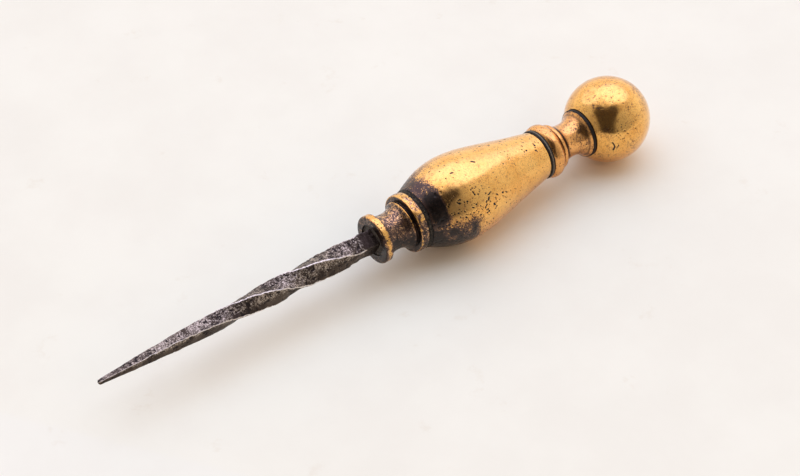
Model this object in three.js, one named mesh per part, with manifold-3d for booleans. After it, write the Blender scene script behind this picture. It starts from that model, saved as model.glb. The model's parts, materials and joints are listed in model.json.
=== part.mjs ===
// A leatherworker's pricking awl: a twisted square spike whose tang runs back through a turned brass
// handle. The handle is a stack of pieces on the tang, clamped by a ball pommel that screws on its end.
// Millimetres. X runs along the tool's axis from the point to the pommel and +Z is up. Distances along
// the axis are counted from the shoulder, the front face of the handle where the spike comes out. The
// finished group is then moved so that the origin is halfway along the whole tool.
import * as THREE from 'three';
import { mergeVertices } from 'three/addons/utils/BufferGeometryUtils.js';
import Module from 'manifold-3d';

const wasm = await Module();
wasm.setup();

// ---- driving dimensions ----
const SPIKE = {
  reach: 87, // shoulder to point
  side: 5.4, // of the square bar it is forged from
  pointSide: 1.1, // the point is worn blunt
  taperStart: 20, // full size up to this distance from the shoulder
  taperPower: 1.6,
  chamfer: 0.3, // soft corners of the bar
  rootAngle: 25, // how the square stands at the shoulder, in degrees
  seatEnd: 8, // the bar stays square this far into the ferrule
};
// Distance from the shoulder and turn of the bar there, in degrees. The bar was twisted while hot, and
// its middle, which was the hottest, took most of the turn.
const TWIST = [[0, 0], [8, 9], [16, 44], [25, 76], [33, 120], [44, 163], [52, 190], [62, 203], [87, 209]];

const THREAD = {
  major: 2.38, // 3/16 in, 24 threads per inch
  minor: 1.72,
  pitch: 1.058,
  footShare: 0.38, // half-width of the ridge at its foot and at its crest, as shares of the pitch
  crestShare: 0.1,
  start: 75.6,
  end: 83.2,
};
const TAPPED = { start: 73.4, mouthEnd: 76, end: 84.8, drillTip: 86 }; // the hole in the ball

const SEAT = { radius: 4.6, depth: 1.0 }; // round the spike in the shoulder, filled with hard cement
const CEMENT = { highAt: 0.2, highRadius: 3.8, lowAt: 0.5 }; // it sinks from the spike towards the rim
const FERRULE = {
  flangeRadius: 7.05,
  flangeRounding: 0.65,
  flangeEnd: 2.1,
  flangeStep: 0.8, // down from the flange to the curve of the waist
  frontCurveAt: 3.6,
  waistAt: 6,
  waistRadius: 5.4,
  rearCurveAt: 8.4,
  arrisAt: 9.8,
  arrisRadius: 7,
  arrisWidth: 0.25,
  grooveDepth: 0.35, // behind the arris
  beadStart: 10.8,
  beadRadius: 8.45,
  beadSwell: 0.3, // the bead is highest in its middle
  end: 13.3,
  spigotRadius: 6.2,
  spigotEnd: 19,
};
// The front washer is level with the bead at first, then stands up in front of the grip.
const FRONT_WASHER = { flatRadius: 8.15, flatEnd: 13.85, ridgeAt: 14.35, ridgeRadius: 9.05, backRadius: 8.5 };
const GRIP = {
  start: 14.6,
  startRadius: 8.7,
  shoulderAt: [18.8, 10.6], // where its front curve heads for, before it levels out
  levelFrom: 22.5,
  widestAt: 28.8,
  radius: 12.65,
  levelTo: 36,
  tailAt: [44, 9.7],
  end: 57.8,
  endRadius: 7.1,
};
const REAR_WASHER_RADIUS = 7.4;
const NECK = {
  spigotStart: 53,
  spigotRadius: 4.6,
  start: 59.2,
  startRadius: 7.3,
  beadFrontAt: 59.9, // where the front of the wide bead heads for, before it levels out
  beadTop: 61.1,
  beadRadius: 8.05,
  beadEnd: 62.5,
  grooveAt: 63.2,
  grooveRadius: 6.65,
  filletStart: 63.5, // a low rounded ring behind the groove
  filletRadius: 6.9,
  filletRounding: 0.7,
  filletEnd: 64.7,
  frontCurveAt: 66.3,
  waistAt: 69,
  waistRadius: 5.05,
  rearCurveAt: 71.9,
  end: 73.5,
  endRadius: 7.05,
};
const POMMEL_WASHER_RADIUS = 7.3;
const BALL = { radius: 12.5, start: 74.5, centre: 84.5 };

const HANDLE_LENGTH = BALL.centre + BALL.radius;
const CLEARANCE = 0.12; // of each bore and socket round the piece inside it
const THREAD_CLEARANCE = 0.09;
const END_ROOM = 0.4; // between the end of a spigot and the bottom of its counterbore
const WASHER_ROUNDING = 0.15;
const PAST = 1; // how far a cutter runs past the face it opens, and a joined rod into its neighbour

// ---- how finely the round shapes are faceted ----
const TURNED_SEGMENTS = 36;
const TANG_SEGMENTS = 24;
const THREAD_SEGMENTS = 16; // in one turn
const SPIKE_STATIONS = 50;
const CURVE_STEPS = 4;
const BALL_STEPS = 12;

// ---- materials ----
const brass = new THREE.MeshStandardMaterial({ color: 0xc8963c, roughness: 0.3, metalness: 1 });
const tarnished = new THREE.MeshStandardMaterial({ color: 0x6b4a2c, roughness: 0.5, metalness: 1 });
const steel = new THREE.MeshStandardMaterial({ color: 0x5a5450, roughness: 0.6, metalness: 0.9 });
const cement = new THREE.MeshStandardMaterial({ color: 0x4a4842, roughness: 0.8, metalness: 0 });
const leather = new THREE.MeshStandardMaterial({ color: 0x1d1b1a, roughness: 0.5, metalness: 0 });

// ---- turned shapes ----
// A body of revolution about X. Its outline is a path of (distance along X, radius) that starts and ends
// on the axis, or closes on itself, and whose outside runs towards +X.
function turned(outline, segments = TURNED_SEGMENTS) {
  const profile = outline.getPoints(CURVE_STEPS).map((p) => new THREE.Vector2(p.y, p.x));
  return new THREE.LatheGeometry(profile, segments).rotateZ(-Math.PI / 2).rotateX(Math.PI / 2);
}

const rod = (radius, from, to) =>
  new THREE.Path().moveTo(from, 0).lineTo(from, radius).lineTo(to, radius).lineTo(to, 0);

// ---- joining and cutting ----
function solid(geometry) {
  const bare = geometry.clone();
  bare.deleteAttribute('normal');
  bare.deleteAttribute('uv');
  const merged = mergeVertices(bare, 1e-4);
  return new wasm.Manifold(
    new wasm.Mesh({
      numProp: 3,
      vertProperties: merged.attributes.position.array,
      triVerts: new Uint32Array(merged.index.array),
    }),
  );
}

function geometryOf(manifold) {
  const mesh = manifold.getMesh();
  return new THREE.BufferGeometry()
    .setAttribute('position', new THREE.BufferAttribute(mesh.vertProperties, 3))
    .setIndex(new THREE.BufferAttribute(mesh.triVerts, 1));
}

// A skin over rings with the same number of points, with a flat cap at each end. Seen from the last ring
// looking back at the first, each ring runs anticlockwise.
function lofted(rings) {
  const around = rings[0].length;
  const index = [];
  for (let i = 0; i < rings.length - 1; i++) {
    for (let j = 0; j < around; j++) {
      const a = i * around + j;
      const b = i * around + ((j + 1) % around);
      index.push(a, b, a + around, b, b + around, a + around);
    }
  }
  const last = (rings.length - 1) * around;
  for (let j = 1; j < around - 1; j++) {
    index.push(0, j + 1, j);
    index.push(last, last + j, last + j + 1);
  }
  const positions = rings.flat().flatMap((p) => [p.x, p.y, p.z]);
  return new THREE.BufferGeometry()
    .setAttribute('position', new THREE.BufferAttribute(new Float32Array(positions), 3))
    .setIndex(index);
}

const aboutAxis = (x, radius, angle) =>
  new THREE.Vector3(x, radius * Math.cos(angle), radius * Math.sin(angle));

// ---- the spike, its tang and its thread ----
// The turn of the bar in radians, eased through the listed points so that the twist has no kinks.
function turnAt(distance) {
  const slope = (k) => {
    const [x0, y0] = TWIST[Math.max(0, k - 1)];
    const [x1, y1] = TWIST[Math.min(TWIST.length - 1, k + 1)];
    return (y1 - y0) / (x1 - x0);
  };
  let i = 0;
  while (i < TWIST.length - 2 && distance > TWIST[i + 1][0]) i++;
  const [x0, y0] = TWIST[i];
  const [x1, y1] = TWIST[i + 1];
  const span = x1 - x0;
  const t = (distance - x0) / span;
  const between = y0 + (y1 - y0) * t * t * (3 - 2 * t);
  const leaving = span * slope(i) * t * (1 - t) ** 2;
  const arriving = span * slope(i + 1) * t ** 2 * (1 - t);
  return THREE.MathUtils.degToRad(between + leaving - arriving);
}

function spikeSide(distance) {
  const share = Math.max(0, distance - SPIKE.taperStart) / (SPIKE.reach - SPIKE.taperStart);
  return SPIKE.side - (SPIKE.side - SPIKE.pointSide) * share ** SPIKE.taperPower;
}

// A square section with chamfered corners.
function squareRing(x, side, angle) {
  const half = side / 2;
  const short = half - (SPIKE.chamfer * side) / SPIKE.side;
  const ring = [];
  for (let corner = 0; corner < 4; corner++) {
    for (const [across, up] of [[half, short], [short, half]]) {
      const turn = angle + (corner * Math.PI) / 2;
      ring.push(aboutAxis(x, Math.hypot(across, up), turn + Math.atan2(up, across)));
    }
  }
  return ring;
}

function spike() {
  const standing = THREE.MathUtils.degToRad(SPIKE.rootAngle);
  const rings = [squareRing(SPIKE.seatEnd, SPIKE.side, standing)];
  for (let i = 0; i <= SPIKE_STATIONS; i++) {
    const distance = (SPIKE.reach * i) / SPIKE_STATIONS;
    rings.push(squareRing(-distance, spikeSide(distance), standing - turnAt(distance)));
  }
  return lofted(rings.reverse());
}

// A length of right-hand thread, from start to end. grow makes it larger all round, for a tapped hole.
// Every thread made here is in step with the one on the tang.
function threaded(start, end, grow) {
  const { pitch } = THREAD;
  const major = THREAD.major + grow;
  const minor = THREAD.minor + grow;
  const foot = pitch * THREAD.footShare + grow;
  const crest = pitch * THREAD.crestShare + grow;
  const sunk = minor * 0.9; // the ridge's foot lies inside the core
  const firstStep = Math.floor(((start - THREAD.start) / pitch - 1) * THREAD_SEGMENTS);
  const lastStep = Math.ceil(((end - THREAD.start) / pitch + 1) * THREAD_SEGMENTS);
  const rings = [];
  for (let step = firstStep; step <= lastStep; step++) {
    const x = THREAD.start + (step * pitch) / THREAD_SEGMENTS;
    const angle = (step * 2 * Math.PI) / THREAD_SEGMENTS;
    rings.push([
      aboutAxis(x + foot, sunk, angle),
      aboutAxis(x + crest, major, angle),
      aboutAxis(x - crest, major, angle),
      aboutAxis(x - foot, sunk, angle),
    ]);
  }
  const core = solid(turned(rod(minor, start, end), THREAD_SEGMENTS));
  const envelope = solid(turned(rod(major + PAST, start, end), THREAD_SEGMENTS));
  return solid(lofted(rings)).intersect(envelope).add(core);
}

function blade() {
  const tang = solid(turned(rod(THREAD.major, SPIKE.seatEnd - PAST, THREAD.start), TANG_SEGMENTS));
  const thread = threaded(THREAD.start - PAST / 2, THREAD.end, 0);
  return geometryOf(solid(spike()).add(tang).add(thread));
}

// ---- the handle ----
// What the spike's square root needs, a little larger than the bar.
function squareSocket(gap, from, to) {
  const standing = THREE.MathUtils.degToRad(SPIKE.rootAngle);
  const side = SPIKE.side + 2 * gap;
  return solid(lofted([from, to].map((x) => squareRing(x, side, standing))));
}

const TANG_BORE = THREAD.major + CLEARANCE;
const tangBore = (from, to) => solid(turned(rod(TANG_BORE, from, to), TANG_SEGMENTS));

function rootPacking() {
  const radius = SEAT.radius - CLEARANCE;
  const outline = new THREE.Path()
    .moveTo(CEMENT.highAt, 0)
    .lineTo(CEMENT.highAt, CEMENT.highRadius)
    .quadraticCurveTo(CEMENT.lowAt, (CEMENT.highRadius + radius) / 2, CEMENT.lowAt, radius)
    .lineTo(SEAT.depth, radius)
    .lineTo(SEAT.depth, 0);
  const socket = squareSocket(CLEARANCE / 2, -PAST, SEAT.depth + PAST);
  return geometryOf(solid(turned(outline)).subtract(socket));
}

function frontFerrule() {
  const f = FERRULE;
  const outline = new THREE.Path()
    .moveTo(SEAT.depth, 0)
    .lineTo(SEAT.depth, SEAT.radius)
    .lineTo(0, SEAT.radius)
    .lineTo(0, f.flangeRadius - f.flangeRounding)
    .quadraticCurveTo(0, f.flangeRadius, f.flangeRounding, f.flangeRadius)
    .lineTo(f.flangeEnd, f.flangeRadius)
    .lineTo(f.flangeEnd, f.flangeRadius - f.flangeStep)
    .quadraticCurveTo(f.frontCurveAt, f.waistRadius, f.waistAt, f.waistRadius)
    .quadraticCurveTo(f.rearCurveAt, f.waistRadius, f.arrisAt, f.arrisRadius)
    .lineTo(f.arrisAt + f.arrisWidth, f.arrisRadius)
    .lineTo(f.arrisAt + f.arrisWidth, f.arrisRadius - f.grooveDepth)
    .lineTo(f.beadStart, f.arrisRadius - f.grooveDepth)
    .lineTo(f.beadStart, f.beadRadius)
    .quadraticCurveTo((f.beadStart + f.end) / 2, f.beadRadius + f.beadSwell, f.end, f.beadRadius)
    .lineTo(f.end, f.spigotRadius)
    .lineTo(f.spigotEnd, f.spigotRadius)
    .lineTo(f.spigotEnd, 0);
  return geometryOf(
    solid(turned(outline))
      .subtract(squareSocket(CLEARANCE, -PAST, SPIKE.seatEnd + CLEARANCE))
      .subtract(tangBore(SPIKE.seatEnd - PAST, f.spigotEnd + PAST)),
  );
}

function frontSpacerRing() {
  const w = FRONT_WASHER;
  const inner = FERRULE.spigotRadius + CLEARANCE;
  const outline = new THREE.Path()
    .moveTo(FERRULE.end, inner)
    .lineTo(FERRULE.end, w.flatRadius)
    .lineTo(w.flatEnd, w.flatRadius)
    .quadraticCurveTo(w.ridgeAt, w.ridgeRadius, GRIP.start, w.backRadius)
    .lineTo(GRIP.start, inner)
    .lineTo(FERRULE.end, inner);
  return turned(outline);
}

// The grip swells quickly behind the ferrule and draws in slowly towards the collar. It is counterbored
// at each end for a spigot.
function grip() {
  const g = GRIP;
  const frontSocket = FERRULE.spigotRadius + CLEARANCE;
  const rearSocket = NECK.spigotRadius + CLEARANCE;
  const frontStep = FERRULE.spigotEnd + END_ROOM;
  const rearStep = NECK.spigotStart - END_ROOM;
  const outline = new THREE.Path()
    .moveTo(g.start, frontSocket)
    .lineTo(g.start, g.startRadius)
    .bezierCurveTo(...g.shoulderAt, g.levelFrom, g.radius, g.widestAt, g.radius)
    .bezierCurveTo(g.levelTo, g.radius, ...g.tailAt, g.end, g.endRadius)
    .lineTo(g.end, rearSocket)
    .lineTo(rearStep, rearSocket)
    .lineTo(rearStep, TANG_BORE)
    .lineTo(frontStep, TANG_BORE)
    .lineTo(frontStep, frontSocket)
    .lineTo(g.start, frontSocket);
  return turned(outline);
}

// A plain washer whose rim is slightly rounded.
function washer(innerRadius, outerRadius, from, to) {
  const edge = outerRadius - WASHER_ROUNDING;
  const outline = new THREE.Path()
    .moveTo(from, innerRadius)
    .lineTo(from, edge)
    .quadraticCurveTo((from + to) / 2, outerRadius + WASHER_ROUNDING, to, edge)
    .lineTo(to, innerRadius)
    .lineTo(from, innerRadius);
  return turned(outline);
}

function rearNeck() {
  const n = NECK;
  const outline = new THREE.Path()
    .moveTo(n.spigotStart, TANG_BORE)
    .lineTo(n.spigotStart, n.spigotRadius)
    .lineTo(n.start, n.spigotRadius)
    .lineTo(n.start, n.startRadius)
    .quadraticCurveTo(n.beadFrontAt, n.beadRadius, n.beadTop, n.beadRadius)
    .quadraticCurveTo(n.beadEnd, n.beadRadius, n.grooveAt, n.grooveRadius)
    .lineTo(n.filletStart, n.filletRadius)
    .quadraticCurveTo(n.filletEnd, n.filletRadius, n.filletEnd, n.filletRadius - n.filletRounding)
    .quadraticCurveTo(n.frontCurveAt, n.waistRadius, n.waistAt, n.waistRadius)
    .quadraticCurveTo(n.rearCurveAt, n.waistRadius, n.end, n.endRadius)
    .lineTo(n.end, TANG_BORE)
    .lineTo(n.spigotStart, TANG_BORE);
  return turned(outline);
}

function pommelBall() {
  const b = BALL;
  const flat = Math.acos((b.start - b.centre) / b.radius);
  const outline = new THREE.Path().moveTo(b.start, 0);
  for (let i = 0; i <= BALL_STEPS; i++) {
    const angle = flat * (1 - i / BALL_STEPS);
    outline.lineTo(b.centre + b.radius * Math.cos(angle), b.radius * Math.sin(angle));
  }
  const drilled = new THREE.Path()
    .moveTo(TAPPED.end - PAST, 0)
    .lineTo(TAPPED.end - PAST, THREAD.minor)
    .lineTo(TAPPED.end, THREAD.minor)
    .lineTo(TAPPED.drillTip, 0);
  return geometryOf(
    solid(turned(outline))
      .subtract(threaded(TAPPED.start, TAPPED.end, THREAD_CLEARANCE))
      .subtract(tangBore(TAPPED.start, TAPPED.mouthEnd))
      .subtract(solid(turned(drilled, THREAD_SEGMENTS))),
  );
}

// ---- assembly ----
const awl = new THREE.Group();
awl.position.x = (SPIKE.reach - HANDLE_LENGTH) / 2;

function piece(name, geometry, material) {
  const mesh = new THREE.Mesh(geometry, material);
  mesh.name = name;
  awl.add(mesh);
}

const rearWasher = washer(NECK.spigotRadius + CLEARANCE, REAR_WASHER_RADIUS, GRIP.end, NECK.start);
const pommelWasher = washer(TANG_BORE, POMMEL_WASHER_RADIUS, NECK.end, BALL.start);
piece('blade', blade(), steel);
piece('root_packing', rootPacking(), cement);
piece('front_ferrule', frontFerrule(), tarnished);
piece('front_spacer_ring', frontSpacerRing(), leather);
piece('grip', grip(), brass);
piece('rear_spacer_ring', rearWasher, leather);
piece('rear_neck', rearNeck(), tarnished);
piece('pommel_spacer_ring', pommelWasher, leather);
piece('pommel_ball', pommelBall(), brass);

const model = new THREE.Group();
model.add(awl);
export default model;
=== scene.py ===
"""The looks of a leatherworker's pricking awl: a hand-forged, twisted spike in a turned brass handle.

Each turned piece is a fine mesh on the half-section of its CAD node, with its dents and pits in the
geometry. The spike is a fine mesh along the twist of its own node. Lengths in this script are in
millimetres and distances along the axis are counted from the shoulder, the front face of the handle.
Meshes are in metres, in the CAD frame, where X runs from the point to the pommel.
"""

import json
import math

import bpy
import numpy as np
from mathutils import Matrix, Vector


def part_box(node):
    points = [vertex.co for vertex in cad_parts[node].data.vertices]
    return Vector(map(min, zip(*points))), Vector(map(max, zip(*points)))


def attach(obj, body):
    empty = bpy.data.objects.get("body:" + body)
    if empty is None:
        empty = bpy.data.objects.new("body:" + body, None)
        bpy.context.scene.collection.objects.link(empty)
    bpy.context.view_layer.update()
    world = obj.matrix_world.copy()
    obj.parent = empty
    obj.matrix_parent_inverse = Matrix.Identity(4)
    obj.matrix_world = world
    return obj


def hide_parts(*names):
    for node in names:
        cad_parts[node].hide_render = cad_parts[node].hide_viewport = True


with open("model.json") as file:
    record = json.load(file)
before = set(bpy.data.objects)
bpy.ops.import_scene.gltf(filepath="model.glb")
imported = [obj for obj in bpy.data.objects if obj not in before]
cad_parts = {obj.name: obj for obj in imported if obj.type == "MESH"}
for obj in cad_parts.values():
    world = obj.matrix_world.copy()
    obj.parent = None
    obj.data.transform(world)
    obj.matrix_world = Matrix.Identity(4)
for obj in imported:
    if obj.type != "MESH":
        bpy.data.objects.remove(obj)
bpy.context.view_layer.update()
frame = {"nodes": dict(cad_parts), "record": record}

MM = 0.001
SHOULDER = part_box("front_ferrule")[0].x / MM
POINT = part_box("blade")[0].x / MM - SHOULDER
TANG_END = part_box("blade")[1].x / MM - SHOULDER

# The thread that holds the ball, as in the CAD model.
THREAD_START = 75.6
THREAD_PITCH = 1.058
THREAD_MAJOR = 2.38
THREAD_MINOR = 1.72
THREAD_CLEARANCE = 0.09
BORE_CLEARANCE = 0.12
HOLE_MOUTH = 76.0
HOLE_THREAD_END = 84.8
HOLE_BOTTOM = 86.0

# Other places and sizes of the CAD model that the looks need.
SQUARE_SEAT_END = 8.0
SEAT_RADIUS = 4.6
FERRULE_BORE_IN_MESH = 3.8
FLANGE_MIDDLE = 1.15
ARRIS = 9.85
BEAD_LIP = 10.95
BLACK_BAND_END = 18.0
NECK_WAIST = 64.3
CHAMFER_OVER_HALF = 1.335

# Spacing of points along an outline where nothing shows, and the angle of the meridian that polar()
# counts from: up, and towards -Y.
HIDDEN_SPACING = 1.2
MERIDIAN = 132.75

# The view: camera angle, distance in millimetres and lens, and the point of the CAD frame it looks at.
VIEW_AZIMUTH = math.radians(-37.1)
VIEW_ELEVATION = math.radians(43.63)
VIEW_DISTANCE = 601.4
VIEW_CENTRE = (2.36, -2.92, -1.0)
LENS = 99.0

BODY_OF = {
    node: body
    for body, nodes in frame["record"]["behaviour"]["bodies"].items()
    for node in nodes
}


# ---- repeatable noise on points ----
def lattice(cells, seed):
    """A repeatable number from 0 to 1 for each whole-number cell."""
    n = cells[:, 0] * 374761393 + cells[:, 1] * 668265263 + cells[:, 2] * 1440662683
    n = (n + seed * 974634777) & 0xFFFFFFFF
    n = ((n ^ (n >> 13)) * 1274126177) & 0xFFFFFFFF
    return ((n ^ (n >> 16)) & 0xFFFF) / 65535.0


def noise(points, size, seed):
    """Smooth noise from -1 to 1, with features about size across."""
    scaled = points / size
    cell = np.floor(scaled).astype(np.int64)
    t = scaled - cell
    t = t * t * (3 - 2 * t)
    total = np.zeros(len(points))
    for corner in np.ndindex(2, 2, 2):
        weight = np.prod(np.where(np.array(corner) == 1, t, 1 - t), axis=1)
        total += weight * lattice(cell + np.array(corner), seed)
    return 2 * total - 1


def rough_noise(points, size, seed, octaves=3):
    """Noise with finer and finer detail added, each octave half as strong as the last."""
    total = np.zeros(len(points))
    for octave in range(octaves):
        total += noise(points, size / 2**octave, seed + octave) / 2**octave
    return total / (2 - 2 ** (1 - octaves))


def step(values, low, high):
    """0 below low, 1 above high, smooth between."""
    t = np.clip((values - low) / (high - low), 0, 1)
    return t * t * (3 - 2 * t)


def near(values, place, width):
    """1 at the place, falling to 0 on both sides of it."""
    return np.exp(-(((values - place) / width) ** 2))


# ---- half-sections of the turned pieces ----
def half_section(node):
    """Points (distance, radius) of a turned CAD node's outline in order, from where its mesh meets the
    half-plane y < 0, z = 0. It runs along the outside towards +X, and closes on itself if the last
    point equals the first."""
    mesh = frame["nodes"][node].data
    key = {}
    for v in mesh.vertices:
        x, y, z = v.co / MM
        if abs(z) < 1e-3 and y < 1e-3:
            key[v.index] = (round(x - SHOULDER, 3), round(-y, 3))
    links = {}
    for edge in mesh.edges:
        a, b = (key.get(i) for i in edge.vertices)
        if a and b and a != b:
            links.setdefault(a, set()).add(b)
            links.setdefault(b, set()).add(a)
    widest = max(links, key=lambda p: p[1])
    backwards = walk(links, widest, lambda p: p[0] < widest[0])
    forwards = walk(links, widest, lambda p: p[0] > widest[0])
    if backwards[-1] == widest or forwards[-1] == widest:
        return np.array(forwards)
    return np.array(backwards[::-1] + forwards[1:])


def walk(links, start, wanted):
    """Points from start along the links, setting out to a neighbour that is wanted, until they end or
    come back to the start."""
    path = [start]
    options = [p for p in links[start] if wanted(p)] or list(links[start])
    here = min(options, key=lambda p: abs(p[0] - start[0]))
    while True:
        path.append(here)
        if here == start:
            return path
        options = [p for p in links[here] if p not in path[1:] and p != path[-2]]
        if not options:
            return path
        here = min(options, key=lambda p: math.dist(p, here))


def smooth_run(points, spacing):
    """A smooth curve through the points, with a point about every spacing."""
    if len(points) == 2:
        count = max(2, int(math.dist(*points) / spacing) + 1)
        return np.linspace(points[0], points[1], count)
    padded = np.vstack([2 * points[0] - points[1], points, 2 * points[-1] - points[-2]])
    out = []
    for a, b, c, d in zip(padded, padded[1:], padded[2:], padded[3:]):
        length = np.linalg.norm(c - b)
        tangent_b = (c - a) * length / max(np.linalg.norm(b - a) + length, 1e-9)
        tangent_c = (d - b) * length / max(np.linalg.norm(d - c) + length, 1e-9)
        count = max(1, int(round(length / spacing)))
        for t in np.arange(count) / count:
            out.append(
                (2 * t**3 - 3 * t**2 + 1) * b
                + (t**3 - 2 * t**2 + t) * tangent_b
                + (3 * t**2 - 2 * t**3) * c
                + (t**3 - t**2) * tangent_c
            )
    return np.array(out + [points[-1]])


def worn_section(section, spacing, edge, bore=0.0, corner_angle=28):
    """The section with its curves smoothed, its corners worn round over about edge, and a point about
    every spacing, or far fewer inside radius bore, where nothing shows. A closed section comes back
    without its repeated last point."""
    closed = np.allclose(section[0], section[-1])
    loop = section[:-1] if closed else section
    count = len(loop)

    def turn(i):
        before = loop[i] - loop[i - 1]
        after = loop[(i + 1) % count] - loop[i]
        angle = math.atan2(after[1], after[0]) - math.atan2(before[1], before[0])
        return abs(math.remainder(angle, math.tau))

    inner = range(count) if closed else range(1, count - 1)
    corners = [i for i in inner if turn(i) > math.radians(corner_angle)]
    if closed:
        loop = np.roll(loop, -corners[0], axis=0)
        corners = [i - corners[0] for i in corners] + [count]
        loop = np.vstack([loop, loop[:1]])
    else:
        corners = [0, *corners, count - 1]
    runs = []
    for a, b in zip(corners, corners[1:]):
        hidden = loop[a : b + 1, 1].max() <= bore
        runs.append(smooth_run(loop[a : b + 1], HIDDEN_SPACING if hidden else spacing))
    out = []
    for i, run in enumerate(runs):
        first, last = i == 0 and not closed, i == len(runs) - 1 and not closed
        cut = min(edge, 0.35 * length_of(run))
        out.extend(trimmed(run, 0 if first else cut, 0 if last else cut))
        if not last:
            following = runs[(i + 1) % len(runs)]
            next_cut = min(edge, 0.35 * length_of(following))
            a, c = out[-1], trimmed(following, next_cut, 0)[0]
            for t in (0.25, 0.5, 0.75):
                out.append((1 - t) ** 2 * a + 2 * t * (1 - t) * run[-1] + t * t * c)
    return np.array(out)


def length_of(run):
    """Length of a run of points."""
    return np.linalg.norm(np.diff(run, axis=0), axis=1).sum()


def trimmed(run, start, end):
    """The run without this much of its length at each end."""
    along = np.r_[0, np.cumsum(np.linalg.norm(np.diff(run, axis=0), axis=1))]
    low, high = start, along[-1] - end
    inside = (along > low + 1e-6) & (along < high - 1e-6)
    ends = [[np.interp(d, along, run[:, k]) for k in (0, 1)] for d in (low, high)]
    return np.vstack([ends[:1], run[inside], ends[1:]])


# ---- grids: a section carried round the axis ----
class Grid:
    """Points on rings round the axis: row i follows the section, column j goes round."""

    def __init__(self, section, around, closed):
        self.closed = closed
        self.angle = np.arange(around) * math.tau / around
        self.x = np.repeat(section[:, :1], around, axis=1)
        self.r = np.repeat(section[:, 1:], around, axis=1)
        self.rows = len(section)
        if closed:
            ahead, behind = np.roll(section, -1, axis=0), np.roll(section, 1, axis=0)
        else:
            ahead = np.vstack([section[1:], section[-1:]])
            behind = np.vstack([section[:1], section[:-1]])
        along = ahead - behind
        along /= np.maximum(np.linalg.norm(along, axis=1, keepdims=True), 1e-9)
        self.normal = np.stack([-along[:, 1], along[:, 0]], axis=1)
        self.section = section
        self.marks = {}

    def points(self):
        """All the points, in millimetres from the shoulder."""
        y = self.r * np.cos(self.angle)
        z = self.r * np.sin(self.angle)
        return np.stack([self.x, y, z], axis=-1).reshape(-1, 3)

    def push(self, height):
        """Moves every point along its normal, which lies in its half-plane."""
        height = height.reshape(self.x.shape)
        self.x += height * self.normal[:, :1]
        self.r += height * self.normal[:, 1:]

    def outside(self):
        """1 where the surface can be seen and handled, 0 in the bore."""
        facing = (self.normal[:, 1] > -0.3) & (self.section[:, 1] > SEAT_RADIUS + 0.3)
        return np.repeat(facing[:, None].astype(float), self.x.shape[1], axis=1)

    def mark(self, name, values):
        """Keeps a value at every point, for the material to read."""
        self.marks[name] = np.clip(values, 0, 1).reshape(-1)


def mesh_object(name, grid):
    """A closed mesh on the grid. A ring of no radius becomes one point."""
    around = grid.x.shape[1]
    points = grid.points()
    points[:, 0] += SHOULDER
    rings = np.arange(grid.rows * around).reshape(grid.rows, around)
    start_tip = grid.r[0].max() < 1e-6 and not grid.closed
    end_tip = grid.r[-1].max() < 1e-6 and not grid.closed
    faces = []
    pairs = list(zip(range(grid.rows - 1), range(1, grid.rows)))
    if grid.closed:
        pairs.append((grid.rows - 1, 0))
    if start_tip:
        pairs = pairs[1:]
        tip, ring = rings[0, 0], rings[1]
        faces += [(tip, n, c) for c, n in zip(ring, np.roll(ring, -1))]
    if end_tip:
        pairs = pairs[:-1]
        tip, ring = rings[-1, 0], rings[-2]
        faces += [(tip, c, n) for c, n in zip(ring, np.roll(ring, -1))]
    for a, b in pairs:
        low, high = rings[a], rings[b]
        faces += zip(low, np.roll(low, -1), np.roll(high, -1), high)
    used = np.unique(np.concatenate([np.array(f) for f in faces]))
    new_index = np.full(len(points), -1)
    new_index[used] = np.arange(len(used))
    mesh = bpy.data.meshes.new(name)
    mesh.from_pydata(points[used] * MM, [], [tuple(new_index[list(f)]) for f in faces])
    for mark, values in grid.marks.items():
        attribute = mesh.attributes.new(mark, "FLOAT", "POINT")
        attribute.data.foreach_set("value", values[used].astype(np.float32))
    mesh.shade_smooth()
    obj = bpy.data.objects.new(name, mesh)
    bpy.context.scene.collection.objects.link(obj)
    return obj


def install(obj, node, material):
    """Makes obj the shown form of a CAD node."""
    obj.data.materials.append(material)
    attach(obj, BODY_OF[node])
    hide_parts(node)


# ---- wear and corrosion in the geometry ----
def exposure(section, reach=0.9):
    """How far each point of the outline stands out from its neighbourhood: above 0 on a bead or a rim,
    below 0 in a groove."""
    distance = np.r_[0, np.cumsum(np.linalg.norm(np.diff(section, axis=0), axis=1))]
    out = np.zeros(len(section))
    for i in range(len(section)):
        weight = near(distance, distance[i], reach)
        out[i] = section[i, 1] - (weight * section[:, 1]).sum() / weight.sum()
    return out


def scatter_pits(grid, count, density, radii, seed):
    """How deep in a pit each point is, 0 to 1, with pits scattered at random where density allows."""
    rng = np.random.default_rng(seed)
    points = grid.points()
    chance = density(points) * grid.outside().reshape(-1)
    chosen = rng.choice(len(points), size=count, p=chance / chance.sum())
    depth = np.zeros(len(points))
    rows, around = grid.x.shape
    closest_points = 0.15
    reach = int(math.ceil(2.2 * max(radii) / closest_points))
    for index in chosen:
        radius = rng.uniform(*radii) * rng.uniform(0.6, 1.0)
        stretch = rng.uniform(0.6, 1.4)
        row, column = divmod(index, around)
        near_rows = np.arange(max(0, row - reach), min(rows, row + reach + 1))
        near_columns = (np.arange(-reach, reach + 1) + column) % around
        near = (near_rows[:, None] * around + near_columns).reshape(-1)
        offset = points[near] - points[index]
        offset[:, 0] *= stretch
        far = np.linalg.norm(offset, axis=1) / radius
        depth[near] = np.maximum(depth[near], np.clip(1 - far**2, 0, 1))
    return depth


def cut_pits(grid, depth, deepest):
    """Sinks the surface by up to deepest where depth is 1, and gives depth back."""
    grid.push(-deepest * depth)
    return depth


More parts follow.
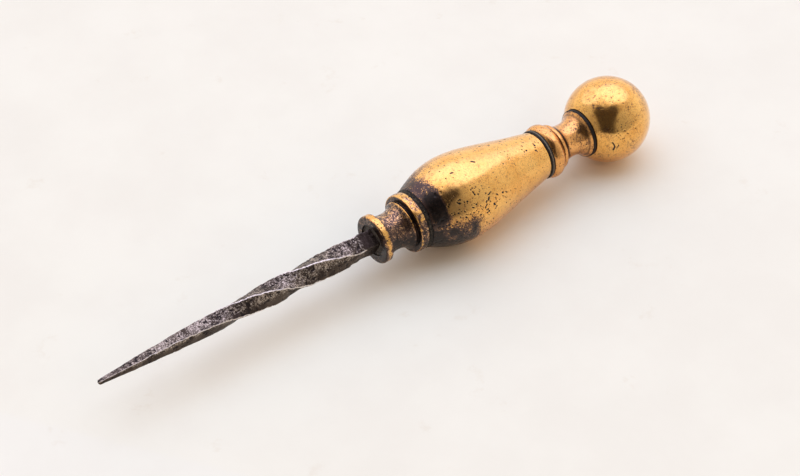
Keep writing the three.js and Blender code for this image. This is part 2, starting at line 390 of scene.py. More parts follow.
# ---- node graphs ----
class Graph:
    """A short way to write a node tree: each call adds a node and gives back its output."""

    def __init__(self, tree):
        self.tree = tree
        tree.nodes.clear()

    def add(self, kind, output=0, inputs=None, **settings):
        node = self.tree.nodes.new("ShaderNode" + kind)
        for name, value in settings.items():
            setattr(node, name, value)
        for key, value in (inputs or {}).items():
            if isinstance(value, bpy.types.NodeSocket):
                self.tree.links.new(value, node.inputs[key])
            else:
                node.inputs[key].default_value = value
        return node.outputs[output]

    def millimetres(self):
        """Place on the object, in millimetres."""
        place = self.add("TexCoord", "Object")
        return self.add("VectorMath", 0, {0: place, "Scale": 1 / MM}, operation="SCALE")

    def mark(self, name):
        """The value that the mesh carries under this name."""
        return self.add("Attribute", "Fac", attribute_name=name)

    def math(self, operation, a, b=0.0):
        return self.add("Math", 0, {0: a, 1: b}, operation=operation)

    def noise(self, place, size, detail=3.0, rough=0.55, seed=0.0):
        inputs = {
            "Vector": place,
            "W": seed,
            "Scale": 1 / size,
            "Detail": detail,
            "Roughness": rough,
        }
        return self.add("TexNoise", 0, inputs, noise_dimensions="4D")

    def cells(self, place, size):
        """Distance from the nearest of many scattered places."""
        inputs = {"Vector": place, "Scale": 1 / size, "Randomness": 1.0}
        return self.add("TexVoronoi", "Distance", inputs)

    def warped(self, place, size, amount):
        """The place moved about by noise."""
        wander = self.add("TexNoise", "Color", {"Vector": place, "Scale": 1 / size, "Detail": 2.0})
        wander = self.add("VectorMath", 0, {0: wander, "Scale": amount}, operation="SCALE")
        return self.add("VectorMath", 0, {0: place, 1: wander})

    def ramp(self, value, low, high, to_low=0.0, to_high=1.0):
        """to_low where value is low, to_high where it is high, smooth between."""
        inputs = {0: value, 1: low, 2: high, 3: to_low, 4: to_high}
        return self.add("MapRange", 0, inputs, interpolation_type="SMOOTHSTEP")

    def blend(self, share, a, b):
        inputs = {0: share, 6: colour(a), 7: colour(b)}
        return self.add("Mix", 2, inputs, data_type="RGBA")

    def facing(self, look, towards):
        """Cosine of the angle between two directions."""
        return self.add("VectorMath", "Value", {0: look, 1: towards}, operation="DOT_PRODUCT")

    def stretched(self, place, along, across):
        inputs = {"Vector": place, "Scale": (along, across, across)}
        return self.add("Mapping", 0, inputs)

    def bump(self, height, distance, strength=1.0, normal=None):
        inputs = {"Height": height, "Distance": distance * MM, "Strength": strength}
        if normal is not None:
            inputs["Normal"] = normal
        return self.add("Bump", 0, inputs)

    def surface(self, inputs):
        shader = self.add("BsdfPrincipled", 0, inputs)
        out = self.tree.nodes.new("ShaderNodeOutputMaterial")
        self.tree.links.new(shader, out.inputs["Surface"])


def colour(value):
    """A colour input: a socket as it is, or three numbers with full alpha."""
    return value if isinstance(value, bpy.types.NodeSocket) else (*value, 1.0)


def new_material(name):
    """A new material and the graph of its nodes."""
    material = bpy.data.materials.new(name)
    material.use_nodes = True
    return material, Graph(material.node_tree)


# ---- materials ----
GOLD = (0.96, 0.53, 0.14)
DEEP_GOLD = (0.82, 0.37, 0.062)
RED_COPPER = (0.82, 0.35, 0.11)
# Colour of the dark reflection painted on the grip.
DARK_REFLECTION_OLIVE = (0.30, 0.18, 0.065)
PALE_COPPER = (0.80, 0.58, 0.43)
COPPER_BROWN = (0.33, 0.14, 0.06)
STAIN_BROWN = (0.09, 0.051, 0.04)
DARK_BROWN = (0.055, 0.03, 0.02)
SOOT = (0.020, 0.0145, 0.0125)
DARK_OXIDE = (0.05, 0.035, 0.027)
BROWN_OXIDE = (0.115, 0.086, 0.067)
RUBBED_STEEL = (0.53, 0.44, 0.36)
BRIGHT_STEEL = (0.78, 0.69, 0.62)
RUST_PIT = (0.03, 0.022, 0.02)
GRIME = (0.04, 0.026, 0.021)


def brass_material(name, polish, copper=0.0, pale=0.0, speckle=0.5):
    """Brass polished by handling. The marks on the mesh say where it has tarnished and, on the
    ferrule, where painted shade and a painted highlight are worked into the crust
    (tarnish_and_painted_light), where it is pitted (pit), where dirt lies in a groove (dirt), where it
    is dotted with specks (specks) and where a dark olive reflection is painted on it
    (painted_dark_reflection)."""
    material, g = new_material(name)
    place = g.millimetres()
    clouds = g.noise(place, 6.0, detail=4.0, seed=1.0)
    grain = g.noise(place, 0.8, detail=6.0, rough=0.68, seed=2.0)
    fleck = g.noise(place, 0.3, detail=4.0, rough=0.65, seed=3.0)
    tone = g.math("ADD", g.math("MULTIPLY", clouds, 0.5), g.math("MULTIPLY", grain, 0.5))
    metal = brass_metal(g, tone, fleck, copper, pale)
    covered, base = tarnished(g, metal, grain, fleck)
    stained = stains(g, place, speckle)
    base = g.blend(stained, base, SOOT)

    hairlines = g.noise(g.stretched(place, 5.0, 0.35), 0.9, detail=3.0, rough=0.7, seed=7.0)
    rough = g.ramp(hairlines, 0.3, 0.75, polish * 0.8, polish * 1.4)
    rough = g.math("ADD", rough, g.ramp(tone, 0.35, 0.7, 0.0, 0.08))
    matt = g.math("MAXIMUM", covered, stained)
    rough = g.math("ADD", rough, g.math("MULTIPLY", matt, 0.22))

    height = g.math("ADD", g.math("MULTIPLY", grain, 0.6), g.math("MULTIPLY", fleck, 0.35))
    height = g.math("SUBTRACT", height, g.math("MULTIPLY", stained, 0.6))
    normal = g.bump(height, 0.025, 0.6)
    normal = g.bump(hairlines, 0.004, 0.4, normal)
    wax_and_sheen = {"Coat Weight": 0.4, "Coat Roughness": 0.25, "Coat IOR": 1.5}
    g.surface({"Base Color": base, "Metallic": 1.0, "Roughness": rough, "Normal": normal, **wax_and_sheen})
    return material


def brass_metal(g, tone, fleck, copper, pale):
    """Colour of the bare metal: gold in clouds of two depths, flecked and coppery in places, and dark
    olive where a dark reflection is painted on it.
    """
    metal = g.blend(g.ramp(tone, 0.40, 0.66, 0.0, 0.85), GOLD, DEEP_GOLD)
    metal = g.blend(g.ramp(fleck, 0.46, 0.72, 0.0, 0.45), metal, COPPER_BROWN)
    metal = g.blend(copper, metal, RED_COPPER)
    paled = g.math("MULTIPLY", g.ramp(g.mark("tarnish_and_painted_light"), 0.35, 0.6), pale)
    metal = g.blend(paled, metal, PALE_COPPER)
    # Painted dark reflection: the metal turns olive-brown where the mesh asks for it.
    return g.blend(g.mark("painted_dark_reflection"), metal, DARK_REFLECTION_OLIVE)


def tarnished(g, metal, grain, fleck):
    """Where a ragged brown-black crust covers the metal, and the colour of metal and crust. On the
    ferrule the crust is also painted shade, heavier on the side turned from the light.
    """
    tarnish_and_painted_light = g.mark("tarnish_and_painted_light")
    ragged = g.math("ADD", tarnish_and_painted_light, g.math("MULTIPLY", g.math("SUBTRACT", grain, 0.5), 1.8))
    ragged = g.math("ADD", ragged, g.math("MULTIPLY", g.math("SUBTRACT", fleck, 0.5), 2.6))
    covered = g.ramp(ragged, 0.42, 0.62)
    halo = g.ramp(ragged, 0.05, 0.5, 0.0, 0.65)
    crust = g.blend(g.ramp(tarnish_and_painted_light, 0.75, 1.0), STAIN_BROWN, SOOT)
    crust = g.blend(g.ramp(grain, 0.42, 0.66, 0.0, 0.6), crust, DARK_BROWN)
    return covered, g.blend(covered, g.blend(halo, metal, COPPER_BROWN), crust)


def stains(g, place, speckle):
    """Where specks, pits and dirt are black."""
    dots = g.ramp(g.cells(g.warped(place, 0.4, 0.5), 0.65), 0.25, 0.1)
    patchy = g.ramp(g.noise(place, 2.4, detail=3.0, seed=5.0), 0.44, 0.6)
    dots = g.math("MULTIPLY", g.math("MULTIPLY", dots, patchy), g.mark("specks"))
    dots = g.math("MULTIPLY", dots, speckle)
    pitted = g.ramp(g.mark("pit"), 0.1, 0.45)
    return g.math("MAXIMUM", g.math("MAXIMUM", dots, pitted), g.mark("dirt"))


def steel_material():
    """Forged steel under dark oxide, rubbed pale on its high spots and bright along its corners, and
    painted darker on its lower faces as shade.
    """
    material, g = new_material("forged_steel")
    place = g.millimetres()
    rub_and_sheen, pit, grime = g.mark("rub_and_sheen"), g.mark("pit"), g.mark("grime")
    clouds = g.noise(place, 3.0, detail=4.0, seed=1.0)
    fine = g.noise(place, 0.5, detail=5.0, rough=0.72, seed=2.0)
    finer = g.noise(place, 0.22, detail=3.0, rough=0.6, seed=3.0)
    oxide = g.blend(g.ramp(clouds, 0.35, 0.65), DARK_OXIDE, BROWN_OXIDE)
    high = g.math("ADD", g.math("MULTIPLY", fine, 0.75), g.math("MULTIPLY", finer, 0.5))
    high = g.math("ADD", high, g.math("MULTIPLY", g.math("SUBTRACT", clouds, 0.5), 0.3))
    # Painted shade: the lower faces are rubbed pale less, so they read darker.
    high = g.math("SUBTRACT", high, g.math("MULTIPLY", g.mark("painted_underside_shade"), 0.2))
    rubbed = g.ramp(high, 0.61, 0.73)
    base = g.blend(rubbed, oxide, RUBBED_STEEL)
    base = g.blend(g.ramp(pit, 0.15, 0.6), base, RUST_PIT)
    worn = g.ramp(g.math("ADD", rub_and_sheen, g.math("MULTIPLY", fine, 1.2)), 1.3, 1.55)
    base = g.blend(worn, base, BRIGHT_STEEL)
    base = g.blend(grime, base, GRIME)
    rough = g.math("SUBTRACT", 0.5, g.math("MULTIPLY", rubbed, 0.14))
    rough = g.math("SUBTRACT", rough, g.math("MULTIPLY", worn, 0.08))
    height = g.math("ADD", fine, g.math("MULTIPLY", finer, 0.5))
    normal = g.bump(height, 0.13, 0.9)
    g.surface({"Base Color": base, "Metallic": 0.9, "Roughness": rough, "Normal": normal})
    return material


def leather_material():
    """Leather washers gone black and waxy, with a little grey-green polish dried along their crests
    and a grey-green highlight painted there as well.
    """
    material, g = new_material("black_leather")
    place = g.millimetres()
    fine = g.noise(place, 0.5, detail=4.0, seed=1.0)
    # Dried polish and a painted highlight: the crest is lightened grey-green.
    wax_and_sheen = g.ramp(g.math("ADD", g.mark("rub_and_sheen"), g.math("MULTIPLY", fine, 1.1)), 1.2, 1.7, 0.0, 0.85)
    base = g.blend(g.ramp(fine, 0.35, 0.7), (0.008, 0.006, 0.005), (0.024, 0.017, 0.013))
    base = g.blend(wax_and_sheen, base, (0.19, 0.165, 0.13))
    rough = g.ramp(fine, 0.3, 0.7, 0.4, 0.62)
    normal = g.bump(fine, 0.05, 0.9)
    looks = {"Base Color": base, "Roughness": rough, "Normal": normal, "Specular IOR Level": 0.2}
    g.surface(looks)
    return material


def cement_material():
    """Hard cement, grimy and crumbling a little, with a grey-green crust in places."""
    material, g = new_material("root_cement")
    place = g.millimetres()
    fine = g.noise(place, 0.5, detail=5.0, rough=0.7, seed=1.0)
    patches = g.noise(place, 2.0, detail=3.0, seed=2.0)
    base = g.blend(g.ramp(fine, 0.4, 0.65), (0.035, 0.024, 0.017), (0.11, 0.08, 0.06))
    base = g.blend(g.ramp(patches, 0.52, 0.68, 0.0, 0.7), base, (0.13, 0.13, 0.1))
    normal = g.bump(fine, 0.1, 0.9)
    g.surface({"Base Color": base, "Roughness": 0.6, "Normal": normal})
    return material


# ---- the turned pieces ----
# Gouges in the grip and the ball: distance and polar() angle of each end, and half-width.
GRIP_SCRATCHES = [
    ((29.9, 28), (30.8, 24), 0.24),
    ((30.6, 21), (31.0, 20), 0.22),
    ((31.6, 20), (32.0, 17), 0.34),
    ((32.2, 14), (33.1, 12), 0.28),
    ((31.2, 11), (31.5, 10), 0.2),
    ((33.0, -36), (33.7, -33), 0.36),
    ((34.6, 18), (35.1, 20), 0.26),
    ((38.1, 23), (38.6, 25), 0.24),
    ((27.8, 1), (28.0, 6), 0.22),
    ((27.4, -2), (28.2, -3), 0.24),
    ((25.4, -34), (26.0, -33), 0.3),
]
BALL_SCRATCHES = [
    ((77.6, 38), (78.2, 45), 0.24),
    ((78.2, 45), (77.9, 53), 0.3),
    ((79.2, 44), (78.6, 50), 0.16),
]
# A scratch marks only what lies further out than this.
SCRATCHED_SKIN = 6.6


def polar(points):
    """Angle round the axis from the meridian that faces up and towards -Y, in degrees. It grows
    towards the side, -Y, and then the underside."""
    angle = np.degrees(np.arctan2(points[:, 2], points[:, 1])) - MERIDIAN
    return (angle + 180) % 360 - 180


def turned_grid(node, spacing, edge, around, bore=0.0, close_at=None):
    """A grid on the CAD node's section. A section cut open by a bore is closed at radius close_at."""
    section = half_section(node)
    if close_at is not None:
        hole = [[section[-1, 0], close_at], [section[0, 0], close_at]]
        section = np.vstack([section, hole, section[:1]])
    return Grid(worn_section(section, spacing, edge, bore), around, closed=True)


def handled(grid, dents, seed):
    """The slow unevenness of hand-turned and much-handled brass."""
    points = grid.points()
    height = dents * rough_noise(points, 5.0, seed) + 0.3 * dents * noise(points, 1.3, seed + 9)
    grid.push(height * grid.outside().reshape(-1))


def groove_dirt(grid, depth=0.12):
    """1 in the grooves of the outline, 0 elsewhere."""
    low = exposure(grid.section)
    dirt = step(-low, 0.3 * depth, depth) * (grid.section[:, 1] > SEAT_RADIUS)
    return np.repeat(dirt[:, None], grid.x.shape[1], axis=1).reshape(-1)


def make_ferrule():
    """The ferrule is tarnished brown-black and speckled, with its rims rubbed bright. Its crust is
    painted heavier on the side turned from the light, as shade, and its arris is bright only on its
    lit side, as a painted highlight.
    """
    grid = turned_grid("front_ferrule", 0.16, 0.09, 300, bore=4.0, close_at=FERRULE_BORE_IN_MESH)
    handled(grid, 0.04, 11)
    points = grid.points()
    radius = np.hypot(points[:, 1], points[:, 2])
    pits = scatter_pits(grid, 520, lambda p: np.ones(len(p)), (0.12, 0.34), 12)
    grid.mark("pit", 0.7 * cut_pits(grid, pits, 0.1))
    along = points[:, 0]
    # shade is 0 on the side that faces the light and 1 on the side turned from it; it drives the
    # painted shade and highlight below.
    shade = 1 - np.clip(np.cos(np.radians(polar(points) + 45)), 0, 1)
    flange = step(radius, 6.5, 6.9) * near(along, FLANGE_MIDDLE, 0.8)
    # The arris is rubbed bright, and is kept bright only on its lit side as a painted highlight.
    arris = step(radius, 6.7, 6.95) * near(along, ARRIS, 0.22) * (1 - shade)
    bead = step(radius, 8.15, 8.4)
    lip = bead * near(along, BEAD_LIP, 0.25)
    speckle = rough_noise(points, 0.8, 13)
    # Painted shade: the crust is made heavier on the side turned from the light.
    tarnish_and_painted_light = 0.54 + 0.42 * shade - 0.64 * flange - 0.55 * arris - 0.2 * bead - 0.4 * lip
    tarnish_and_painted_light += (0.28 + 0.42 * bead) * speckle
    front = step(-along, -0.5, 0.0) * step(-radius, -7.0, -6.7)
    behind_arris = step(along, ARRIS + 0.17, ARRIS + 0.25) * step(-radius, -8.35, -8.1)
    hidden = np.maximum(front, behind_arris) * (0.86 + 0.25 * speckle)
    grid.mark("tarnish_and_painted_light", np.maximum(tarnish_and_painted_light, hidden))
    grid.mark("dirt", 0.4 * groove_dirt(grid))
    grid.mark("specks", np.ones(len(points)))
    obj = mesh_object("ferrule_brass", grid)
    material = brass_material("tarnished_brass", 0.17, pale=0.5, speckle=1.0)
    install(obj, "front_ferrule", material)


def make_grip():
    """The grip is polished by use and pitted, with a black patina at its front end and a dark olive
    reflection painted on its side behind the band.
    """
    grid = turned_grid("grip", 0.23, 0.1, 340, bore=6.4)
    handled(grid, 0.055, 21)
    points = grid.points()
    side = polar(points)
    low_front = step(-np.abs(side - 42), -58, -18) * step(-points[:, 0], -36, -24)

    def density(p):
        clusters = step(rough_noise(p, 5.0, 22), 0.1, 0.5)
        return 0.15 + 0.8 * clusters + 2.2 * low_front

    pits = scatter_pits(grid, 760, density, (0.13, 0.4), 23)
    for row in GRIP_SCRATCHES:
        pits = np.maximum(pits, scratch(points, *row))
    grid.mark("pit", cut_pits(grid, pits, 0.12))

    grid.mark("tarnish_and_painted_light", grip_tarnish(points, side))
    # Painted dark reflection: an olive-brown wedge behind the black band, on the side that faces up
    # and towards -Y.
    reflected_dark_wedge = step(-points[:, 0], -27.5, -21.5) * step(side, -26, -8) * step(-side, -52, -20)
    grid.mark("painted_dark_reflection", 0.65 * reflected_dark_wedge)
    grid.mark("dirt", np.zeros(len(points)))
    grid.mark("specks", 0.25 + 0.75 * low_front)
    obj = mesh_object("grip_brass", grid)
    install(obj, "grip", brass_material("grip_brass", 0.15))


def grip_tarnish(points, side):
    """A black band at the grip's front end, sootiest where it faces up, and brown mottling behind it
    on the underside and, fainter, on the far side."""
    along = points[:, 0]
    reach = BLACK_BAND_END + 1.5 * near(side, 0, 38) + 0.8 * rough_noise(points, 2.6, 24)
    facing = step(-side, -32, -12) * step(side, -34, -16)
    black = step(reach - along, 1.9 * facing - 2.6, 1.2 - 0.5 * facing)
    sooty = 0.84 + 0.4 * facing * step(along, 14.9, 16.4)
    under = step(side, 22, 42) * step(-side, -165, -120) * step(-along, -31.5, -25)
    mottle = under * (0.86 + 0.4 * noise(points, 2.2, 25))
    over = step(-side, 42, 80) * step(-along, -29, -18)
    faint = over * (0.55 + 0.35 * noise(points, 2.5, 26))
    return np.maximum(sooty * black, np.maximum(mottle, faint))


def scratch(points, start, end, width):
    """1 along a ragged gouge from one (distance, angle) to another, 0 away from it."""
    (x1, a1), (x2, a2) = start, end
    radius = np.hypot(points[:, 1], points[:, 2])
    u = points[:, 0] - x1
    v = np.radians(polar(points) - a1) * radius
    du, dv = x2 - x1, math.radians(a2 - a1) * radius
    share = np.clip((u * du + v * dv) / (du * du + dv * dv), 0, 1)
    off = np.hypot(u - share * du, v - share * dv) / width
    ragged = 0.75 + 0.7 * noise(points, 0.5, 27)
    return np.clip(1 - off**2, 0, 1) * np.clip(ragged, 0, 1) * (radius > SCRATCHED_SKIN)


def make_neck():
    """The neck is coppery brown between its polished beads and its rear rim."""
    grid = turned_grid("rear_neck", 0.14, 0.07, 280, bore=4.7)
    handled(grid, 0.03, 31)
    points = grid.points()
    pits = scatter_pits(grid, 220, lambda p: np.ones(len(p)), (0.1, 0.28), 32)
    grid.mark("pit", cut_pits(grid, pits, 0.07))
    waist = step(points[:, 0], NECK_WAIST, NECK_WAIST + 1.3)
    grid.mark("tarnish_and_painted_light", 0.12 + waist * (0.1 + 0.26 * rough_noise(points, 2.0, 33)))
    grid.mark("dirt", groove_dirt(grid, 0.1))
    grid.mark("specks", 0.3 + 0.6 * waist)
    obj = mesh_object("neck_brass", grid)
    material = brass_material("neck_brass", 0.16, copper=0.5)
    install(obj, "rear_neck", material)


def thread_height(x, angle, grow=0.0):
    """How far the thread's ridge has risen at this place, from 0 at its root to 1 at its crest."""
    phase = (x - THREAD_START) / THREAD_PITCH - angle / math.tau
    off_ridge = np.abs(phase - np.round(phase)) * THREAD_PITCH
    foot, crest = 0.354 * THREAD_PITCH, 0.1 * THREAD_PITCH
    return np.clip((foot + grow - off_ridge) / (foot - crest), 0, 1)


def make_ball():
    """The ball pommel, with the tapped hole that screws it on the tang."""
    root = THREAD_MINOR + THREAD_CLEARANCE
    mouth = THREAD_MAJOR + BORE_CLEARANCE
    outside = half_section("pommel_ball")
    outside = outside[np.argmax(outside[:, 1] > mouth + 1) :]
    front = outside[0, 0]
    threads = [[x, root] for x in np.arange(HOLE_THREAD_END, HOLE_MOUTH, -0.09)]
    hole = [[HOLE_BOTTOM, 0.0], *threads, [HOLE_MOUTH, root], [HOLE_MOUTH, mouth]]
    skin = worn_section(np.vstack([[[front, mouth]], outside]), 0.21, 0.09)
    grid = Grid(np.vstack([hole, skin]), 320, closed=False)
    inside = (grid.x > HOLE_MOUTH + 0.02) & (grid.x < HOLE_THREAD_END - 0.01)
    in_thread = inside & (grid.r < mouth + 0.05)
    ridge = thread_height(grid.x, grid.angle, THREAD_CLEARANCE)
    grid.r += np.where(in_thread, ridge * (THREAD_MAJOR - THREAD_MINOR), 0)
    handled(grid, 0.04, 41)
    points = grid.points()

    def density(p):
        return 0.15 + step(rough_noise(p, 5.0, 42), 0.1, 0.5)

    pits = scatter_pits(grid, 260, density, (0.12, 0.3), 43)
    for row in BALL_SCRATCHES:
        pits = np.maximum(pits, scratch(points, *row))
    grid.mark("pit", 0.8 * cut_pits(grid, pits, 0.07))
    grid.mark("tarnish_and_painted_light", 0.26 * step(rough_noise(points, 4.0, 44), 0.0, 0.6))
    grid.mark("dirt", np.zeros(len(points)))
    grid.mark("specks", np.full(len(points), 0.35))
    obj = mesh_object("pommel_brass", grid)
    install(obj, "pommel_ball", brass_material("ball_brass", 0.115))


def make_washers():
    """The three black leather washers."""
    leather = leather_material()
    washers = [
        ("front_spacer_ring", "front_washer", 0.8),
        ("rear_spacer_ring", "rear_washer", 1.0),
        ("pommel_spacer_ring", "pommel_washer", 0.3),
    ]
    for seed, (node, name, crest_sheen) in enumerate(washers):
        grid = turned_grid(node, 0.1, 0.08, 240)
        points = grid.points()
        height = 0.04 * rough_noise(points, 1.2, 50 + seed)
        grid.push(height * grid.outside().reshape(-1))
        # Each washer's crest carries dried polish and a painted highlight: most on the rear washer,
        # least on the pommel washer.
        crest = np.abs(grid.section[:, 0] - grid.section[:, 0].mean()) / np.ptp(grid.section[:, 0])
        crest = step(-crest, -0.3, -0.1) * step(grid.section[:, 1], 6.9, 7.2) * crest_sheen
        grid.mark("rub_and_sheen", np.repeat(crest[:, None], grid.x.shape[1], axis=1))
        install(mesh_object(name, grid), node, leather)


# ---- the spike ----
def bar_law():
    """Distance, turn in radians and half-side of the forged bar, from the rings of the CAD blade."""
    rings = {}
    for v in frame["nodes"]["blade"].data.vertices:
        x, y, z = v.co / MM
        if x < SHOULDER + 0.01:
            rings.setdefault(round(x - SHOULDER, 2), set()).add((round(y, 3), round(z, 3)))
    distances = np.array(sorted(x for x in rings if len(rings[x]) == 8))
    turns, halves = [], []
    for x in distances:
        ring = np.array(sorted(rings[x]))
        quadruple = np.exp(4j * np.arctan2(ring[:, 1], ring[:, 0])).sum()
        turns.append(np.angle(-quadruple))
        halves.append(np.hypot(ring[:, 0], ring[:, 1]).mean() / CHAMFER_OVER_HALF)
    return distances, np.unwrap(turns) / 4, np.array(halves)


def square_angles(around):
    """Directions of points spaced evenly round a square."""
    side = np.arange(around // 4) / (around // 4) * 2 - 1
    return np.concatenate([np.arctan(side) + quarter * math.pi / 2 for quarter in range(4)])


def square_radius(angle, half, sharpness=12):
    """Radius of a square bar with softened corners."""
    c, s = np.abs(np.cos(angle)), np.abs(np.sin(angle))
    return half / (c**sharpness + s**sharpness) ** (1 / sharpness)


def blade_grid():
    """The spike's twisted square bar with its blunt point, the round tang and the thread, and the
    half-side of the bar at every point."""
    around = 128
    distances, turns, halves = bar_law()
    spike = np.arange(POINT, SQUARE_SEAT_END, 0.2)
    tang = np.linspace(SQUARE_SEAT_END + 0.02, THREAD_START - 0.3, 40)
    thread = np.arange(THREAD_START - 0.25, TANG_END, 0.06)
    along = np.concatenate([[POINT], spike, tang, thread, [TANG_END, TANG_END]])
    grid = Grid(np.stack([along, np.ones(len(along))], axis=1), around, closed=False)
    local = square_angles(around)
    half = np.interp(grid.x, distances, halves)
    axis_line = np.stack([grid.x, 0 * grid.x, 0 * grid.x], axis=-1).reshape(-1, 3)
    wander = noise(axis_line, 3.4, 66) + 0.5 * noise(axis_line, 1.3, 67)
    uneven = 0.07 * wander.reshape(grid.x.shape) * step(-grid.x, 0.0, 3.0)
    grid.angle = local[None, :] + np.interp(grid.x, distances, turns) + uneven
    blunt = np.clip((grid.x - POINT) / 0.7, 0, 1)
    square = square_radius(local, half) * (0.55 + 0.45 * np.sqrt(blunt * (2 - blunt)))
    ridge = (THREAD_MAJOR - THREAD_MINOR) * thread_height(grid.x, grid.angle)
    grid.r = np.where(grid.x < SQUARE_SEAT_END + 0.01, square, THREAD_MAJOR)
    grid.r = np.where(grid.x > THREAD_START, THREAD_MINOR + ridge, grid.r)
    grid.r[0] = grid.r[-1] = 0.0
    return grid, local, half


def make_blade():
    """The spike is twisted, hammered, pitted and worn blunt, and its lower faces are painted darker as
    shade. Its tang and thread run on behind.
    """
    grid, local, half = blade_grid()
    points = grid.points()
    along = points[:, 0]
    bare = step(-along, -0.5, 0.5)
    forged = 0.2 * noise(points, 4.5, 61) + 0.14 * noise(points, 1.6, 62)
    pits = step(rough_noise(points, 0.7, 63), 0.12, 0.5)
    holes = step(noise(points, 1.6, 64) + 0.8 * noise(points, 0.6, 68), 0.7, 1.05)
    size = np.clip(half / 2.6, 0.5, 1.0)
    change = ((forged - 0.12 * pits - 0.16 * holes) * bare).reshape(grid.r.shape) * size
    change[0] = change[-1] = 0.0
    grid.r += change
    grid.mark("pit", (pits * 0.8 + holes) * bare)
    grid.mark("grime", 0.92 * step(along + 0.35 * noise(points, 1.0, 65), -4.4, -4.1))
    # Painted shade on the spike's lower faces, strongest towards the point.
    under = step(-np.sin(grid.angle), -0.6, 0.3).reshape(-1)
    grid.mark("painted_underside_shade", under * (0.5 + 0.5 * step(-along, 20, 50)))
    corner = step(np.abs(np.abs(local) % (math.pi / 2) - math.pi / 4), 0.2, 0.0)
    grid.mark("rub_and_sheen", np.tile(corner, grid.rows) * bare)
    install(mesh_object("spike_and_tang", grid), "blade", steel_material())


def make_cement():
    """The cement round the root of the spike, hollowed slightly between the bar and its seat."""
    around, rings, gap = 192, 9, 0.03
    _, turns, halves = bar_law()
    section = half_section("root_packing")
    front, back, outer = section[:, 0].min(), section[:, 0].max(), section[:, 1].max()
    shares = np.r_[np.linspace(0, 1, rings), 1, 0]
    levels = np.r_[np.full(rings, front), back, back]
    face = levels == front
    grid = Grid(np.stack([levels, outer * shares + 1], axis=1), around, closed=True)
    local = square_angles(around)
    grid.angle = (local + turns[-1])[None, :]
    inner = square_radius(local, halves[-1] + gap)
    grid.r = inner + (outer - inner) * shares[:, None]
    hollow = (0.35 * np.sin(math.pi * shares) + 0.2 * shares) * face
    grid.x = np.repeat((levels + hollow)[:, None], around, axis=1)
    crumbs = 0.12 * rough_noise(grid.points(), 0.9, 71).reshape(grid.x.shape)
    grid.x += crumbs * face[:, None]
    install(mesh_object("root_cement", grid), "root_packing", cement_material())


# ---- floor, light and camera ----
# The photographer and the camera, seen in the brass: azimuth, elevation and radius of each dark
# shape, in degrees.
DARK_SHAPES = [(-137, 38, 27), (-130, 8, 22), (-164, 52, 18), (-118, 56, 16), (-98, 60, 13)]
DARK_SHAPE_COLOUR = (0.07, 0.06, 0.055)

# Bright parts of the room round the lamp: azimuth and elevation, the cosines of the angles at which
# the glow begins and is full, and its colour.
BRIGHT_SHAPES = [
    (102, 46, 0.885, 0.925, (1.45, 1.42, 1.85)),
    (31, 60, 0.81, 0.87, (1.4, 1.37, 1.85)),
]


def make_floor():
    """A plain pale sheet that the grip and the ball lie on."""
    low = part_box("grip")[0].z
    half = 3.0
    corners = [(-half, -half), (half, -half), (half, half), (-half, half)]
    mesh = bpy.data.meshes.new("floor")
    mesh.from_pydata([(x, y, low) for x, y in corners], [], [(0, 1, 2, 3)])
    floor = bpy.data.objects.new("floor", mesh)
    bpy.context.scene.collection.objects.link(floor)
    material, g = new_material("floor_sheet")
    place = g.millimetres()
    shade = g.ramp(g.noise(place, 30.0, detail=5.0, rough=0.6, seed=1.0), 0.3, 0.7)
    base = g.blend(shade, (0.80, 0.765, 0.735), (0.83, 0.8, 0.77))
    smudge = g.ramp(g.noise(place, 9.0, detail=5.0, rough=0.65, seed=2.0), 0.62, 0.72, 0.0, 0.25)
    base = g.blend(smudge, base, (0.7, 0.62, 0.55))
    normal = g.bump(g.noise(place, 1.5, detail=3.0, seed=3.0), 0.03, 0.4)
    g.surface({"Base Color": base, "Roughness": 0.7, "Normal": normal})
    mesh.materials.append(material)


def direction(azimuth, elevation):
    """Unit vector towards a place in the sky. Azimuth is counted from +X towards +Y."""
    a, e = math.radians(azimuth), math.radians(elevation)
    return (math.cos(e) * math.cos(a), math.cos(e) * math.sin(a), math.sin(e))


def make_lamp():
    """A soft round lamp overhead and beyond the tool."""
    lamp = bpy.data.lights.new("soft_box", "AREA")
    lamp.shape = "ELLIPSE"
    lamp.size, lamp.size_y = 1.75, 1.35
    lamp.energy = 2.8
    lamp.color = (0.9, 1.0, 1.35)
    box = bpy.data.objects.new("soft_box", lamp)
    box.location = (0.5, 0.3, 1.0)
    box.visible_camera = False
    bpy.context.scene.collection.objects.link(box)


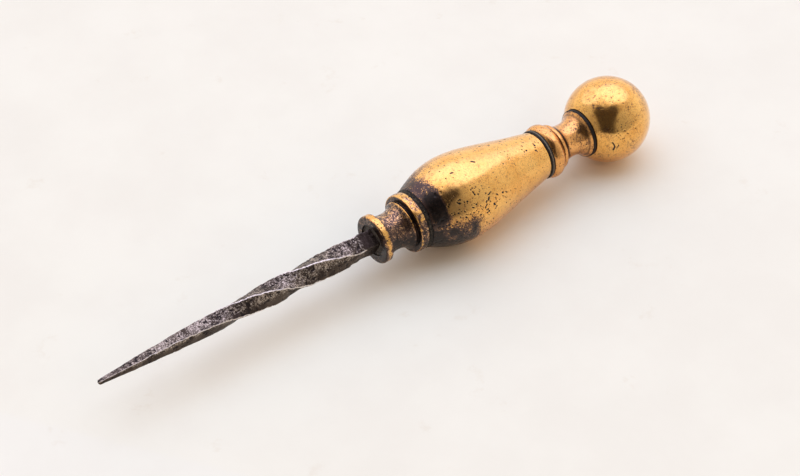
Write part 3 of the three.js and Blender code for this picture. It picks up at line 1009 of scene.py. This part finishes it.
def make_room():
    """A pale room with the photographer in it, as light and as what the brass reflects. The camera
    itself sees an even pale backdrop."""
    world = bpy.data.worlds.new("room")
    bpy.context.scene.world = world
    world.use_nodes = True
    g = Graph(world.node_tree)
    look = g.add("TexCoord", "Generated")
    light = g.blend(g.add("LightPath", "Is Diffuse Ray"), mirrored_room(g, look), room_fill(g, look))
    for azimuth, elevation, radius in DARK_SHAPES:
        inner, outer = (math.cos(math.radians(radius + soft)) for soft in (-6, 6))
        dark = g.ramp(g.facing(look, direction(azimuth, elevation)), outer, inner)
        light = g.blend(dark, light, DARK_SHAPE_COLOUR)
    light = g.blend(g.add("LightPath", "Is Camera Ray"), light, (0.88, 0.86, 0.84))
    shader = g.add("Background", 0, {"Color": light, "Strength": 1.0})
    out = world.node_tree.nodes.new("ShaderNodeOutputWorld")
    world.node_tree.links.new(shader, out.inputs["Surface"])


def mirrored_room(g, look):
    """What polished metal reflects: a room that is brightest beyond the tool, with two glows."""
    beyond = g.ramp(g.facing(look, direction(50, 0)), -1.0, 1.0)
    light = g.blend(beyond, (0.39, 0.37, 0.35), (1.2, 1.17, 1.15))
    for azimuth, elevation, begins, full, glow in BRIGHT_SHAPES:
        bright = g.ramp(g.facing(look, direction(azimuth, elevation)), begins, full)
        light = g.blend(bright, light, glow)
    return light


def room_fill(g, look):
    """What lights matt surfaces: brownish from low down, warmer from the camera's side than from the
    far side, so that the shadows on the floor are brown."""
    height = g.facing(look, direction(0, 90))
    near_side = g.ramp(g.facing(look, direction(-37, 0)), -0.8, 0.8)
    slanting = g.blend(near_side, (1.2, 1.0, 0.8), (1.7, 1.0, 0.45))
    above = g.blend(near_side, (1.02, 1.36, 1.6), (1.5, 1.6, 1.48))
    raised = g.blend(g.ramp(height, 0.0, 0.35), (0.5, 0.16, 0.03), slanting)
    return g.blend(g.ramp(height, 0.35, 0.85), raised, above)


def make_camera():
    """The camera, above and to the left of the point."""
    a, e = VIEW_AZIMUTH, VIEW_ELEVATION
    back = Vector((math.sin(a) * math.cos(e), -math.cos(a) * math.cos(e), math.sin(e)))
    data = bpy.data.cameras.new("camera")
    data.lens = LENS
    data.clip_start, data.clip_end = 0.01, 50.0
    camera = bpy.data.objects.new("camera", data)
    camera.location = (Vector(VIEW_CENTRE) + back * VIEW_DISTANCE) * MM
    camera.rotation_mode = "QUATERNION"
    camera.rotation_quaternion = (-back).to_track_quat("-Z", "Y")
    bpy.context.scene.collection.objects.link(camera)
    bpy.context.scene.camera = camera


make_blade()
make_cement()
make_ferrule()
make_grip()
make_neck()
make_ball()
make_washers()
make_floor()
make_lamp()
make_room()
make_camera()
bpy.context.scene.view_settings.view_transform = "Standard"
